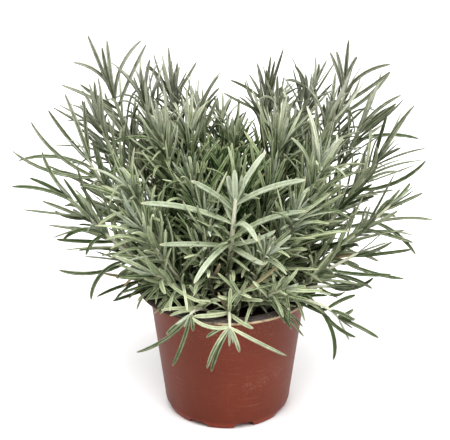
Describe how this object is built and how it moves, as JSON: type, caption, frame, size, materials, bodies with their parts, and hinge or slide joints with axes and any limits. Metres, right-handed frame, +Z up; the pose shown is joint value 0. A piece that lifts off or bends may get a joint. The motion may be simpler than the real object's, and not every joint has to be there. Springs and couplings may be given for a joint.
{
  "type": "potted shrubby everlasting",
  "caption": "Potted shrubby everlasting with narrow, felted grey-green leaves on spreading leafy stems, in a thin terracotta-coloured plastic nursery pot.",
  "frame": {"origin": "on the floor that the pot stands on, under the middle of the plant's outline; the pot's axis is a few millimetres to the right and front of it", "axes": "+Z up along the pot's axis, +Y to the back, +X to the right as seen from the front"},
  "size_m": [0.2317, 0.1728, 0.2158],
  "materials": {
    "pot": "satin",
    "soil": "matte",
    "foliage": "matte"
  },
  "bodies": {
    "root": {"pot": "pot", "soil": "soil", "shoot_left_high": "foliage", "shoot_left_high_low": "foliage", "shoot_left_upper": "foliage", "shoot_left_middle": "foliage", "shoot_left_lower": "foliage", "shoot_left_trailing": "foliage", "shoot_front_left_low": "foliage", "shoot_front_left_trailing": "foliage", "shoot_front_trailing": "foliage", "shoot_front_tall": "foliage", "shoot_front_right_low": "foliage", "shoot_front_right_inner": "foliage", "shoot_front_left_inner": "foliage", "shoot_front_right_trailing": "foliage", "shoot_right_trailing": "foliage", "shoot_right_low": "foliage", "shoot_right_lower": "foliage", "shoot_right_middle": "foliage", "shoot_right_upper": "foliage", "shoot_right_high": "foliage", "shoot_right_high_inner": "foliage", "shoot_right_high_outer": "foliage", "shoot_back_crown_right": "foliage", "shoot_right_crown_inner": "foliage", "shoot_back_right_crown": "foliage", "shoot_back_left_crown": "foliage", "shoot_left_crown_outer": "foliage", "shoot_back_crown_left": "foliage", "shoot_back_dip": "foliage", "shoot_back_dip_inner": "foliage", "shoot_middle": "foliage", "shoot_left_crown_middle": "foliage", "shoot_left_crown_inner": "foliage", "shoot_right_inner": "foliage", "shoot_right_crown_middle": "foliage", "shoot_front_left": "foliage", "shoot_left_inner": "foliage", "shoot_front_right": "foliage", "shoot_front_inner": "foliage", "shoot_back_right": "foliage", "shoot_back": "foliage", "shoot_back_left": "foliage", "shoot_back_right_low": "foliage", "shoot_back_left_low": "foliage", "shoot_left_back_low": "foliage", "shoot_right_back_low": "foliage", "shoot_inner_left": "foliage", "shoot_inner_right": "foliage", "shoot_inner_back_left": "foliage", "shoot_inner_back_right": "foliage", "shoot_inner_left_low": "foliage", "shoot_inner_right_low": "foliage", "shoot_inner_back": "foliage"}
  },
  "joints": []
}
